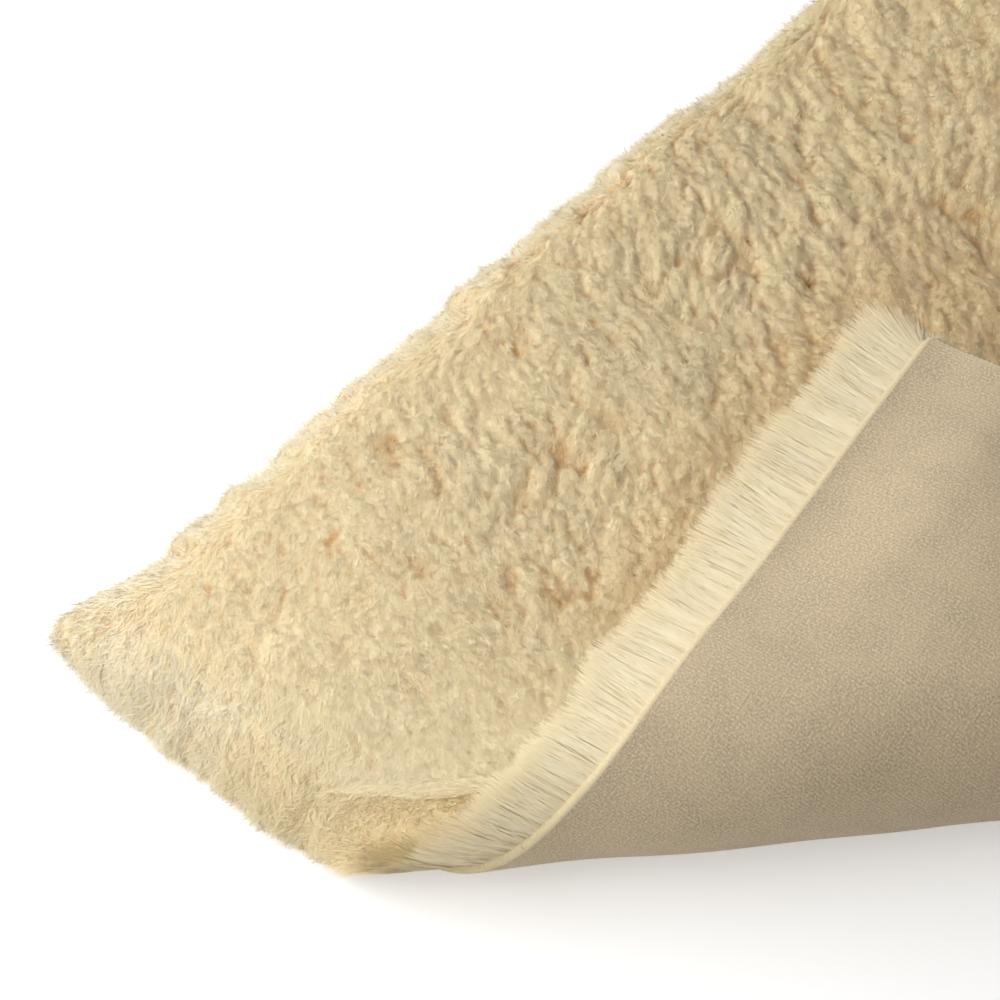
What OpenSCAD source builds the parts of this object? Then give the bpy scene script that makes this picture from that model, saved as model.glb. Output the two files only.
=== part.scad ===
// Wash mitt with a pile face, a knitted back and a ribbed cuff, one corner of the finger end turned over.

/* [Body] */
// Width across the side seams
mitt_w = 204; // [180:1:230]
// Length from the finger end to the cuff seam
body_len = 244; // [236:1:280]
// Radius of the sewn corners
corner_r = 3; // [2:0.5:6]
// Length over which the mouth gathers in to the cuff
gather_len = 40; // [30:1:45]

/* [Cloth] */
// Thickness of the knitted back
back_t = 1.2; // [0.8:0.1:2]
// Thickness of the knitted ground that carries the pile
face_t = 1.2; // [0.8:0.1:2]
// Space left between the two cloths where they lie together
ply_gap = 0.4; // [0.3:0.1:1]
// Width of the overlocked edge outside the cloths
seam_w = 2; // [1.2:0.1:3]
// Slack between the overlocked edge and the cloths
seam_gap = 0.25; // [0.1:0.05:0.5]

/* [Pile] */
// Standing height of the pile above its ground cloth
pile_h = 14; // [8:0.5:18]
// How far the pile bulges past the sewn edge
pile_over = 4; // [2.5:0.5:6]
// Width of the rounded pile edge
pile_round = 14; // [8:1:20]
// Space between the pile faces in the fold
pile_gap = 1.2; // [0.8:0.1:3]

/* [Turned corner] */
// Distance from the plain corner to the start of the fold along the finger end
fold_start = 53; // [45:1:75]
// Angle between the finger end and the fold
fold_turn = 49; // [44:1:52]
// How steeply the turned corner rises from the pile below
flap_rise = 5; // [2:1:12]
// Slit between the cloth on the roll and the cloth beside it
roll_gap = 0.9; // [0.7:0.1:1.5]

/* [Cuff] */
// Width of the cuff lying flat
cuff_w = 132; // [110:1:160]
// Height of the open mouth above the back cloth
mouth_h = 30; // [22:1:40]
// Length of the ribbed cuff
cuff_len = 48; // [35:1:70]
// Thickness of the doubled rib knit
cuff_t = 3; // [2:0.2:4]
// Width of the seam that joins cuff and body
join_w = 2.4; // [1.6:0.2:4]

/* [Hidden] */
// Heights of the layers above the outside of the back cloth
face_low = back_t + ply_gap;
face_top = face_low + face_t;
seam_mid = face_top / 2;
// The cloth runs round the fold with its back outside
roll_r = face_top + pile_h + pile_gap / 2;
roll_turn = 180 - flap_rise;
roll_arc = roll_r * roll_turn * PI / 180;
// Where the fold leaves the side seam, and how far the turned corner reaches from the fold
fold_exit = (mitt_w - fold_start) * tan(fold_turn);
corner_reach = (mitt_w - fold_start) * sin(fold_turn);
flap_from = roll_arc + roll_gap;
// Centre of the whole part on the ground
middle_x = mitt_w / 2;
middle_y = (body_len + cuff_len - pile_over) / 2;
// The pocket opens from behind the turned corner toward the mouth
pocket_from = 0.82 * fold_exit;
gather_from = body_len - gather_len;
// Counts of steps along and across the layers
across_n = 12;
edge_n = 6;
along_n = 14;
gather_n = 12;
roll_n = 14;
bead_n = 6;
pile_paint = [0.90, 0.85, 0.74];
knit_paint = [0.78, 0.70, 0.57];
ground_paint = [0.84, 0.77, 0.65];
seam_paint = [0.88, 0.82, 0.70];
rib_paint = [0.74, 0.66, 0.53];

function ease(t) = let (c = min(1, max(0, t))) c * c * (3 - 2 * c);
function dome(t) = let (c = 1 - min(1, max(0, t))) sqrt(1 - c * c);
function spread(i, n) = (1 - cos(180 * i / n)) / 2;

// Flat cloth coordinates, along the fold and away from it over the fold
function along(x, y) = (x - fold_start) * cos(fold_turn) + y * sin(fold_turn);
function past(x, y) = (x - fold_start) * sin(fold_turn) - y * cos(fold_turn);
function plan(s, q, z) = [
    fold_start + s * cos(fold_turn) - q * sin(fold_turn),
    s * sin(fold_turn) + q * cos(fold_turn),
    z
];
function on_roll(s, a, h) = plan(s, -(roll_r - h) * sin(a), roll_r - (roll_r - h) * cos(a));
function beyond(s, d, h) =
    let (tilt = [-cos(roll_turn), sin(roll_turn)], r = roll_r - h)
    plan(s, -r * sin(roll_turn) + d * tilt.x, roll_r - r * cos(roll_turn) + d * tilt.y);

// Position of a point of the cloth, h above the outside of the back
function settle(s, t, h) =
    t <= 0 ? plan(s, -t, h) :
    t < roll_arc ? on_roll(s, t / roll_r * 180 / PI, h) :
    beyond(s, t - roll_arc, h);
function cloth(x, y, h) = settle(along(x, y), past(x, y), h);
function turned(x, y, h) = beyond(along(x, y), past(x, y) - roll_arc, h);

// Side of the mitt, drawn in at the tip and at the gathered mouth
function tuck(y) =
    y < corner_r ? corner_r - sqrt(max(0, corner_r * corner_r - (corner_r - y) * (corner_r - y))) :
    ease((y - gather_from) / gather_len) * (mitt_w - cuff_w) / 2;
function side_tuck(y) = ease((y - gather_from) / gather_len) * (mitt_w - cuff_w) / 2;
function near_x(y) = tuck(y);
function fold_x(y) = fold_start + (y * cos(fold_turn) - roll_gap) / sin(fold_turn);
function far_x(y) = min(mitt_w - side_tuck(y), fold_x(y));

// Lift of the face over the hand pocket, u runs from 0 to 1 across the mitt
function arch(u) = pow(max(0, 1 - (2 * u - 1) * (2 * u - 1)), 0.6);
function lift(u, y) = mouth_h * ease((y - pocket_from) / (body_len - 8 - pocket_from)) * arch(u);

// Closed solid between two grids of points
module layer(upper, lower) {
    rows = len(upper);
    cols = len(upper[0]);
    n = rows * cols;
    points = concat([for (row = upper) each row], [for (row = lower) each row]);
    faces = [
        for (i = [0 : rows - 2], j = [0 : cols - 2])
            let (a = i * cols + j, b = a + cols)
            each [[a, b, b + 1], [a, b + 1, a + 1], [n + a, n + b + 1, n + b], [n + a, n + a + 1, n + b + 1]],
        for (j = [0 : cols - 2])
            let (b = n - cols + j)
            each [[j, j + 1, n + j + 1], [j, n + j + 1, n + j], [b, n + b, n + b + 1], [b, n + b + 1, b + 1]],
        for (i = [0 : rows - 2])
            let (a = i * cols, b = a + cols, c = a + cols - 1, d = c + cols)
            each [[a, n + a, n + b], [a, n + b, b], [c, d, n + d], [c, n + d, n + c]]
    ];
    polyhedron(points, faces, convexity = 6);
}

// Half-round bead along an edge of the cloth, its flat side against both cloths
function outward(path, i) =
    let (a = path[max(0, i - 1)], b = path[min(len(path) - 1, i + 1)], d = b - a)
    [d.y, -d.x] / norm(d);
module bead(path) {
    m = bead_n + 1;
    last = len(path) - 1;
    rings = [
        for (i = [0 : last])
            let (out = outward(path, i))
            [
                for (k = [0 : bead_n])
                    let (a = -90 + 180 * k / bead_n, p = path[i] + out * (seam_gap + seam_w * cos(a)))
                    cloth(p.x, p.y, seam_mid + seam_mid * sin(a))
            ]
    ];
    faces = [
        for (i = [0 : last - 1], k = [0 : bead_n])
            let (a = i * m + k, b = i * m + (k + 1) % m)
            each [[a, b, b + m], [a, b + m, a + m]],
        [for (k = [bead_n : -1 : 0]) k],
        [for (k = [0 : bead_n]) last * m + k]
    ];
    polyhedron([for (ring = rings) each ring], faces, convexity = 6);
}

// Rows of the main panel, close together at the finger end and at the gathered mouth
gather_y = [for (i = [0 : gather_n]) gather_from + gather_len * i / gather_n];
edge_y = 2 * pile_round;
rows_y = concat(
    [for (i = [0 : edge_n - 1]) edge_y * (1 - cos(90 * i / edge_n))],
    [for (i = [0 : along_n - 1]) edge_y + (gather_from - edge_y) * i / along_n],
    gather_y
);
pile_end = gather_y[gather_n - 1];
function panel_x(u, y) = near_x(y) + u * (far_x(y) - near_x(y));
function panel_row(y) = [
    for (j = [0 : across_n])
        let (u = spread(j, across_n))
        [panel_x(u, y), y, lift(u, y)]
];

tip_arc = [for (a = [0 : 15 : 90]) [corner_r - corner_r * sin(a), corner_r - corner_r * cos(a)]];
long_path = concat(
    [[fold_start - roll_gap / sin(fold_turn), 0]],
    tip_arc,
    [for (y = gather_y) [side_tuck(y), min(y, body_len - seam_gap)]]
);
short_path = concat(
    [for (i = [gather_n : -1 : 0]) [mitt_w - side_tuck(gather_y[i]), min(gather_y[i], body_len - seam_gap)]],
    [[mitt_w, fold_exit + roll_gap / cos(fold_turn)]]
);
flap_arc = [for (a = [0 : 15 : 90]) [mitt_w - corner_r + corner_r * cos(a), corner_r - corner_r * sin(a)]];
flap_path = concat(
    [[mitt_w, fold_exit - flap_from / cos(fold_turn)]],
    flap_arc,
    [[fold_start + flap_from / sin(fold_turn), 0]]
);

// Outline of the open mouth, grown by g
module mouth(g) {
    offset(delta = g)
        polygon(concat(
            [[cuff_w / 2, 0]],
            [for (i = [0 : 32]) let (u = 1 - spread(i, 32)) [(u - 0.5) * cuff_w, face_top + mouth_h * arch(u)]],
            [[-cuff_w / 2, 0]]
        ));
}
module tube(from, length, outer, inner) {
    translate([mitt_w / 2, from + length, 0])
        rotate([90, 0, 0])
            linear_extrude(height = length)
                intersection() {
                    difference() {
                        mouth(outer);
                        mouth(-inner);
                    }
                    translate([-mitt_w, 0])
                        square([2 * mitt_w, 4 * mouth_h]);
                }
}
module on_flap(h) {
    o = turned(0, 0, h);
    ex = turned(1, 0, h) - o;
    ey = turned(0, 1, h) - o;
    ez = turned(0, 0, h + 1) - o;
    multmatrix([
        [ex.x, ey.x, ez.x, o.x],
        [ex.y, ey.y, ez.y, o.y],
        [ex.z, ey.z, ez.z, o.z],
        [0, 0, 0, 1]
    ])
        children();
}

module back_panel() {
    color(knit_paint)
        linear_extrude(height = back_t)
            polygon(concat(long_path, short_path));
}

module face_cloth() {
    grid = [for (y = rows_y) panel_row(y)];
    color(ground_paint)
        layer(
            [for (row = grid) [for (p = row) [p.x, p.y, face_top + p.z]]],
            [for (row = grid) [for (p = row) [p.x, p.y, face_low + p.z]]]
        );
}

// The pile bulges over the sewn edges and keeps its full height along the fold
function edge_near(x, y) = min(x - near_x(y), y, mitt_w - side_tuck(y) - x, pile_end - y);
function pull(d) = let (c = max(0, 1 - d / pile_round)) pile_over * c * c;
module wool_pile() {
    grid = [for (y = rows_y) if (y <= pile_end) panel_row(y)];
    function rise(p) = 0.4 + 0.6 * dome(edge_near(p.x, p.y) / pile_round);
    function bulged(p) =
        let (
            x = p.x - pull(p.x - near_x(p.y)) + pull(mitt_w - side_tuck(p.y) - p.x),
            y = p.y - pull(p.y)
        )
        [min(x, fold_x(y)), y, face_top + p.z + pile_h * rise(p)];
    function hemmed(p, j) =
        let (
            out = 0.6 * pile_over,
            at_side = mitt_w - side_tuck(p.y) - p.x < 0.01,
            x = p.x + (j == 0 ? -out : j == across_n && at_side ? out : 0),
            y = p.y - (p.y == 0 ? out : 0)
        )
        [min(x, fold_x(y)), y, face_top + p.z];
    color(pile_paint)
        layer(
            [for (row = grid) [for (p = row) bulged(p)]],
            [for (row = grid) [for (j = [0 : across_n]) hemmed(row[j], j)]]
        );
}

module long_seam() {
    color(seam_paint)
        bead([for (i = [len(long_path) - 1 : -1 : 0]) long_path[i]]);
}

module short_seam() {
    color(seam_paint)
        bead([for (i = [len(short_path) - 1 : -1 : 0]) short_path[i]]);
}

module join_seam() {
    color(seam_paint)
        tube(body_len, join_w, 0.6, cuff_t + 0.6);
}

module cuff_band() {
    color(rib_paint)
        tube(body_len + join_w, cuff_len - join_w, 0, cuff_t);
}

// A layer of the roll between two heights above the back, o outside the sewn edges
function finger_edge(t, o) = (t * cos(fold_turn) - o) / sin(fold_turn);
function side_edge(t, o) = (mitt_w + o - fold_start - t * sin(fold_turn)) / cos(fold_turn);
module roll_layer(low_h, high_h, low_o, high_o) {
    steps = [for (i = [roll_n : -1 : 0]) roll_arc * i / roll_n];
    layer(
        [for (t = steps) [settle(finger_edge(t, high_o), t, high_h), settle(side_edge(t, high_o), t, high_h)]],
        [for (t = steps) [settle(finger_edge(t, low_o), t, low_h), settle(side_edge(t, low_o), t, low_h)]]
    );
}

module back_roll() {
    color(knit_paint)
        roll_layer(0, back_t, 0, 0);
}

module face_roll() {
    color(ground_paint)
        roll_layer(face_low, face_top, 0, 0);
}

module pile_roll() {
    color(pile_paint)
        roll_layer(face_top, face_top + pile_h, 0.6 * pile_over, 0.3 * pile_over);
}

// The overlocked edge stops short of the turned corner, so that it clears it while it opens
seam_steps = [for (i = [0 : roll_n]) (roll_arc - seam_w) * i / roll_n];
module finger_roll_seam() {
    color(seam_paint)
        bead([for (t = seam_steps) [fold_start + t / sin(fold_turn), 0]]);
}

module side_roll_seam() {
    color(seam_paint)
        bead([for (i = [roll_n : -1 : 0]) [mitt_w, fold_exit - seam_steps[i] / cos(fold_turn)]]);
}

module back_flap() {
    color(knit_paint)
        on_flap(0)
            linear_extrude(height = back_t)
                polygon(flap_path);
}

module face_flap() {
    color(ground_paint)
        on_flap(face_low)
            linear_extrude(height = face_t)
                polygon(flap_path);
}

module pile_flap() {
    n = 10;
    steps = [for (i = [0 : n]) corner_reach + 1 - (corner_reach + 1 - flap_from) * (1 - cos(90 * i / n))];
    function flat_x(s, t) = fold_start + s * cos(fold_turn) + t * sin(fold_turn);
    function flat_y(s, t) = s * sin(fold_turn) - t * cos(fold_turn);
    function rise(s, t) =
        0.4 + 0.6 * dome((min(flat_y(s, t), mitt_w - flat_x(s, t)) + pile_over) / pile_round);
    function step_s(t, u, o) = finger_edge(t, o) + u * (side_edge(t, o) - finger_edge(t, o));
    color(pile_paint)
        layer(
            [
                for (t = steps)
                    [
                        for (j = [0 : across_n])
                            let (s = step_s(t, spread(j, across_n), pile_over))
                            settle(s, t, face_top + pile_h * rise(s, t))
                    ]
            ],
            [
                for (t = steps)
                    [for (j = [0 : across_n]) settle(step_s(t, spread(j, across_n), 0.6 * pile_over), t, face_top)]
            ]
        );
}

module flap_seam() {
    color(seam_paint)
        bead([for (i = [len(flap_path) - 1 : -1 : 0]) flap_path[i]]);
}

translate([-middle_x, -middle_y, 0]) {
    back_panel();
    face_cloth();
    wool_pile();
    long_seam();
    short_seam();
    join_seam();
    cuff_band();
    back_roll();
    face_roll();
    pile_roll();
    finger_roll_seam();
    side_roll_seam();
    back_flap();
    face_flap();
    pile_flap();
    flap_seam();
}
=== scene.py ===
import math
import bpy
import numpy as np
from mathutils import Matrix, Vector


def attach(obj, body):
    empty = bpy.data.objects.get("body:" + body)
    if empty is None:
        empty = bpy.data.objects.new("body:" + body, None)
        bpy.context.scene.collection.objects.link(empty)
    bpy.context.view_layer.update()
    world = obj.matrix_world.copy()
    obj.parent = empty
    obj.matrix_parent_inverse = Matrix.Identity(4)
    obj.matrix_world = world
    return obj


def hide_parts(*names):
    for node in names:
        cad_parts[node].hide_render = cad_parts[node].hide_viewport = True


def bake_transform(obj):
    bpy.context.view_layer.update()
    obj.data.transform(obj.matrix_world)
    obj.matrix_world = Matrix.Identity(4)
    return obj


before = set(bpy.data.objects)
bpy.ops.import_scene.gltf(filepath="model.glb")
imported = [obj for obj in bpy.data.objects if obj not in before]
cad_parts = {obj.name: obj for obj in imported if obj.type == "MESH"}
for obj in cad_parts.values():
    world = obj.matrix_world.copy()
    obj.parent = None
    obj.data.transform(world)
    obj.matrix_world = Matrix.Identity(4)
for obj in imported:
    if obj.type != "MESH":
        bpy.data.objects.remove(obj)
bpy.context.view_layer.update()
scene = bpy.context.scene

# Sizes of the mitt in millimetres and degrees, as in the part.
# Panel x runs along the finger end, and panel y from there toward the cuff.
mitt = dict(width=204.0, bodyLength=244.0, gather=40.0, backThick=1.2, plyGap=0.4, faceThick=1.2,
            pile=14.0, pileGap=1.2, pileOver=4.0, foldStart=53.0, foldTurn=49.0, flapRise=5.0,
            cuffWidth=132.0, mouthHeight=30.0, mouthArch=0.6, pocketStart=0.82, pocketFull=8.0,
            cuffLength=48.0, cuffThick=3.0, joinWidth=2.4, cornerRadius=3.0, turnedRadius=1.0)
cuffEnd = mitt["bodyLength"] + mitt["cuffLength"]
middle = np.array([mitt["width"] / 2, (cuffEnd - mitt["pileOver"]) / 2, 0.0])
faceLow = mitt["backThick"] + mitt["plyGap"]
faceTop = faceLow + mitt["faceThick"]
rollRadius = faceTop + mitt["pile"] + mitt["pileGap"] / 2
rollTurn = math.radians(180 - mitt["flapRise"])
rollArc = rollRadius * rollTurn
turn = math.radians(mitt["foldTurn"])
foldExit = (mitt["width"] - mitt["foldStart"]) * math.tan(turn)
cornerReach = (mitt["width"] - mitt["foldStart"]) * math.sin(turn)
gatherFrom = mitt["bodyLength"] - mitt["gather"]
pileEnd = mitt["bodyLength"] - mitt["gather"] / 12
groundGap = 0.02  # least height of a sewn piece above the ground
noiseCells = 128


def ease(t):
    c = np.clip(t, 0.0, 1.0)
    return c * c * (3 - 2 * c)


def softNoise(x, y, cell, seed):
    # Smooth noise from -1 to 1 on a seeded lattice
    grid = np.random.default_rng(seed).uniform(-1, 1, (noiseCells, noiseCells))
    gx, gy = np.asarray(x) / cell, np.asarray(y) / cell
    ix, iy = np.floor(gx).astype(int), np.floor(gy).astype(int)
    fx, fy = ease(gx - ix), ease(gy - iy)
    at = lambda a, b: grid[a % noiseCells, b % noiseCells]
    low = at(ix, iy) * (1 - fx) + at(ix + 1, iy) * fx
    high = at(ix, iy + 1) * (1 - fx) + at(ix + 1, iy + 1) * fx
    return low * (1 - fy) + high * fy


# Places on the flat panel, counted along the fold and past it, and back again

def along(x, y):
    return (x - mitt["foldStart"]) * math.cos(turn) + y * math.sin(turn)


def past(x, y):
    return (x - mitt["foldStart"]) * math.sin(turn) - y * math.cos(turn)


def flatX(s, t):
    return mitt["foldStart"] + s * math.cos(turn) + t * math.sin(turn)


def flatY(s, t):
    return s * math.sin(turn) - t * math.cos(turn)


def sideTuck(y):
    return ease((y - gatherFrom) / mitt["gather"]) * (mitt["width"] - mitt["cuffWidth"]) / 2


def nearX(y):
    r = mitt["cornerRadius"]
    dip = np.clip(r - np.asarray(y, float), 0, r)
    return r - np.sqrt(r * r - dip * dip) + sideTuck(y)


def farX(y):
    return np.minimum(mitt["width"] - sideTuck(y), mitt["foldStart"] + np.asarray(y) / math.tan(turn))


def lift(x, y):
    # Rise of the face over the hand pocket
    u = np.clip((x - nearX(y)) / np.maximum(farX(y) - nearX(y), 1e-6), 0, 1)
    arch = np.maximum(0, 1 - (2 * u - 1) ** 2) ** mitt["mouthArch"]
    start = mitt["pocketStart"] * foldExit
    full = mitt["bodyLength"] - mitt["pocketFull"]
    return mitt["mouthHeight"] * ease((y - start) / (full - start)) * arch


swayLook = dict(dent=0.9, fineDent=0.5, bulge=3.0, edgeDip=4.0)


def sway(x, y):
    # Shallow dents and a broad bulge of the turned cloth, fading out where the roll meets the ground
    t = past(x, y)
    dents = swayLook["dent"] * softNoise(x, y, 34, 11) + swayLook["fineDent"] * softNoise(x, y, 17, 12)
    bulge = swayLook["bulge"] * ease(y / 32) * ease((150 - y) / 90) * ease((mitt["width"] - x) / 30)
    edgeDip = swayLook["edgeDip"] * (1 - ease(y / 20)) * ease((t - rollArc) / 25)
    return dents * ease(t / 24) * ease((cornerReach - t) / 14) - bulge * ease((t - 10) / 40) + edgeDip


def settle(x, y, h, lifted=False, swayed=True):
    # Point of the cloth, h above the outside of the back, in panel millimetres
    x, y, h = np.broadcast_arrays(np.asarray(x, float), np.asarray(y, float), np.asarray(h, float))
    s, t = along(x, y), past(x, y)
    raised = h + (lift(x, y) if lifted else 0)
    if swayed:
        h = h + sway(x, y)
    a = np.clip(t / rollRadius, 0, rollTurn)
    r = rollRadius - h
    beyond = np.maximum(t - rollArc, 0)
    q = np.where(t <= 0, -t, -r * np.sin(a) - beyond * math.cos(rollTurn))
    z = np.where(t <= 0, raised, rollRadius - r * np.cos(a) + beyond * math.sin(rollTurn))
    px = mitt["foldStart"] + s * math.cos(turn) - q * math.sin(turn)
    py = s * math.sin(turn) + q * math.cos(turn)
    return np.stack([px, py, z], -1)


def fingerEdge(t):
    return t / math.tan(turn)


def sideEdge(t):
    return (mitt["width"] - mitt["foldStart"] - t * math.sin(turn)) / math.cos(turn)


def toFrame(points):
    return (np.asarray(points, float).reshape(-1, 3) - middle) / 1000


def addObject(name, data):
    item = bpy.data.objects.new(name, data)
    scene.collection.objects.link(item)
    return item


def makePiece(name, points, faces, material, uv, uvName="panel", normals=None):
    # Smooth mesh object from millimetre points and faces of one size
    faces = np.asarray(faces, np.int32)
    sides = faces.shape[1]
    mesh = bpy.data.meshes.new(name)
    mesh.vertices.add(len(points))
    mesh.vertices.foreach_set("co", toFrame(points).astype(np.float32).ravel())
    mesh.loops.add(faces.size)
    mesh.loops.foreach_set("vertex_index", faces.ravel())
    mesh.polygons.add(len(faces))
    mesh.polygons.foreach_set("loop_start", np.arange(0, faces.size, sides, dtype=np.int32))
    mesh.polygons.foreach_set("use_smooth", np.ones(len(faces), bool))
    layer = mesh.uv_layers.new(name=uvName)
    layer.uv.foreach_set("vector", np.asarray(uv, np.float32)[faces.ravel()].ravel())
    mesh.update(calc_edges=True)
    mesh.validate()
    if normals is not None:
        mesh.normals_split_custom_set_from_vertices(normals.astype(np.float32))
    piece = addObject(name, mesh)
    mesh.materials.append(material)
    return piece


def gridFaces(rows, cols, start=0, wrap=False):
    # Quads of a grid of points, wrapped across its columns if asked
    last = cols if wrap else cols - 1
    i, j = np.meshgrid(np.arange(rows - 1), np.arange(last), indexing="ij")
    a, b = i * cols + j, i * cols + (j + 1) % cols
    return start + np.stack([a, b, b + cols, a + cols], -1).reshape(-1, 4)


class Patch:
    # Collects grids of points with their panel coordinates into one mesh
    def __init__(self):
        self.points, self.faces, self.uv, self.count = [], [], [], 0

    def grid(self, points, u, v, wrap=False, flip=False):
        rows, cols = points.shape[:2]
        faces = gridFaces(rows, cols, self.count, wrap)
        self.faces.append(faces[:, ::-1] if flip else faces)
        self.points.append(points.reshape(-1, 3))
        u, v = np.broadcast_arrays(u, v)
        self.uv.append(np.stack([u, v], -1).reshape(-1, 2) / 1000)
        self.count += rows * cols

    def sheet(self, x, y, low, high, lifted=False):
        # Thin closed cloth between two heights over a grid of panel coordinates
        outer, inner = settle(x, y, low, lifted), settle(x, y, high, lifted)
        self.grid(outer, x, y, flip=True)
        self.grid(inner, x, y)
        for pick in ((0, slice(None)), (-1, slice(None)), (slice(None), 0), (slice(None), -1)):
            rim = np.stack([outer[pick], inner[pick]])
            flip = pick[0] == -1 or pick[1] == 0
            self.grid(rim, x[pick][None], y[pick][None] + np.zeros((2, 1)), flip=flip)

    def make(self, name, material, slot):
        return makePiece(name, np.concatenate(self.points), np.concatenate(self.faces), material,
                         np.concatenate(self.uv))


# Materials

def nodeGroup(name, inputs, outputs):
    group = bpy.data.node_groups.new(name, "ShaderNodeTree")
    for label, kind, value in inputs:
        socket = group.interface.new_socket(label, in_out="INPUT", socket_type=kind)
        if value is not None:
            socket.default_value = value
    for label, kind in outputs:
        group.interface.new_socket(label, in_out="OUTPUT", socket_type=kind)
    return group, group.nodes.new("NodeGroupInput"), group.nodes.new("NodeGroupOutput")


def addNode(tree, kind, links=None, **values):
    # New node with its properties, and its inputs set by number or name, a socket being linked
    node = tree.nodes.new(kind)
    for key, value in values.items():
        setattr(node, key, value)
    for key, value in (links or {}).items():
        if isinstance(value, bpy.types.NodeSocket):
            tree.links.new(value, node.inputs[key])
        else:
            node.inputs[key].default_value = value
    return node


def mathNode(tree, operation, *values):
    return addNode(tree, "ShaderNodeMath", dict(enumerate(values)), operation=operation).outputs[0]


def mixColour(tree, factor, a, b):
    node = addNode(tree, "ShaderNodeMix", data_type="RGBA")
    for index, value in ((0, factor), (6, a), (7, b)):
        if isinstance(value, bpy.types.NodeSocket):
            tree.links.new(value, node.inputs[index])
        else:
            node.inputs[index].default_value = value
    return node.outputs[2]


def buildMottle():
    # Soft patches and fine specks of tone over a cloth, in panel coordinates
    tree, inside, outside = nodeGroup(
        "mottle",
        [("Vector", "NodeSocketVector", None), ("Patch Scale", "NodeSocketFloat", 30.0),
         ("Speck Scale", "NodeSocketFloat", 1500.0)],
        [("Patch", "NodeSocketFloat"), ("Speck", "NodeSocketFloat")])
    patch = addNode(tree, "ShaderNodeTexNoise", {"Vector": inside.outputs["Vector"],
                                                 "Scale": inside.outputs["Patch Scale"], "Detail": 3.0})
    speck = addNode(tree, "ShaderNodeTexNoise", {"Vector": inside.outputs["Vector"],
                                                 "Scale": inside.outputs["Speck Scale"], "Detail": 2.0})
    tree.links.new(patch.outputs[0], outside.inputs["Patch"])
    tree.links.new(speck.outputs[0], outside.inputs["Speck"])
    return tree


def buildKnit():
    # Slanted loops of a fine knit: height and a mask of the furrows between the wales
    tree, inside, outside = nodeGroup(
        "fineKnit",
        [("Vector", "NodeSocketVector", None), ("Wale", "NodeSocketFloat", 0.0006),
         ("Course", "NodeSocketFloat", 0.00045)],
        [("Height", "NodeSocketFloat"), ("Furrow", "NodeSocketFloat")])
    split = addNode(tree, "ShaderNodeSeparateXYZ", {0: inside.outputs["Vector"]})
    wale = mathNode(tree, "DIVIDE", split.outputs[0], inside.outputs["Wale"])
    course = mathNode(tree, "DIVIDE", split.outputs[1], inside.outputs["Course"])
    across = mathNode(tree, "SINE", mathNode(tree, "MULTIPLY", wale, 2 * math.pi))
    bend = mathNode(tree, "MULTIPLY", mathNode(tree, "ABSOLUTE", across), 0.5)
    slant = mathNode(tree, "ADD", course, bend)
    loop = mathNode(tree, "SINE", mathNode(tree, "MULTIPLY", slant, 2 * math.pi))
    ridge, stitch = mathNode(tree, "MULTIPLY", across, 0.6), mathNode(tree, "MULTIPLY", loop, 0.4)
    height = mathNode(tree, "ADD", ridge, stitch)
    furrow = mathNode(tree, "MULTIPLY_ADD", across, -0.5, 0.5)
    tree.links.new(height, outside.inputs["Height"])
    tree.links.new(furrow, outside.inputs["Furrow"])
    return tree


mottleGroup = buildMottle()
knitGroup = buildKnit()


def newMaterial(name):
    material = bpy.data.materials.new(name)
    material.use_nodes = True
    tree = material.node_tree
    return material, tree, tree.nodes["Principled BSDF"]


def useGroup(tree, group, links):
    return addNode(tree, "ShaderNodeGroup", links, node_tree=group)


def setSockets(shader, values):
    for label, value in values.items():
        shader.inputs[label].default_value = value


def knitMaterial(name, look):
    material, tree, shader = newMaterial(name)
    place = addNode(tree, "ShaderNodeUVMap", uv_map="panel").outputs[0]
    knit = useGroup(tree, knitGroup, {"Vector": place, "Wale": look["wale"], "Course": look["course"]})
    tone = useGroup(tree, mottleGroup,
                    {"Vector": place, "Patch Scale": look["patch"], "Speck Scale": look["speck"]})
    base = mixColour(tree, tone.outputs["Patch"], look["dark"], look["light"])
    furrow = mathNode(tree, "MULTIPLY", knit.outputs["Furrow"], look["furrow"])
    grain = mixColour(tree, furrow, base, look["deep"])
    cloud = useGroup(tree, mottleGroup,
                     {"Vector": place, "Patch Scale": look["cloud"], "Speck Scale": look["blush"]})
    dull = mathNode(tree, "MULTIPLY_ADD", cloud.outputs["Patch"], look["cloudGain"], look["cloudFrom"])
    grain = mixColour(tree, dull, grain, look["soft"])
    rosy = mathNode(tree, "MULTIPLY_ADD", cloud.outputs["Speck"], look["blushGain"], look["blushFrom"])
    grain = mixColour(tree, rosy, grain, look["rosy"])
    fleckFrom = 0.3 - look["fleck"] / 2
    fleck = mathNode(tree, "MULTIPLY_ADD", tone.outputs["Speck"], look["fleck"], fleckFrom)
    colour = mixColour(tree, fleck, grain, look["pale"])
    tree.links.new(colour, shader.inputs["Base Color"])
    rough = mathNode(tree, "MULTIPLY_ADD", tone.outputs["Speck"], look["roughSpread"], look["rough"])
    tree.links.new(rough, shader.inputs["Roughness"])
    height = mathNode(tree, "MULTIPLY_ADD", tone.outputs["Speck"], 0.5, knit.outputs["Height"])
    bump = addNode(tree, "ShaderNodeBump",
                   {"Height": height, "Strength": look["bump"], "Distance": look["loopHeight"]})
    tree.links.new(bump.outputs[0], shader.inputs["Normal"])
    setSockets(shader, {"Sheen Weight": look["sheen"], "Sheen Roughness": 0.5,
                        "Specular IOR Level": look["shine"]})
    return material


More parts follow.
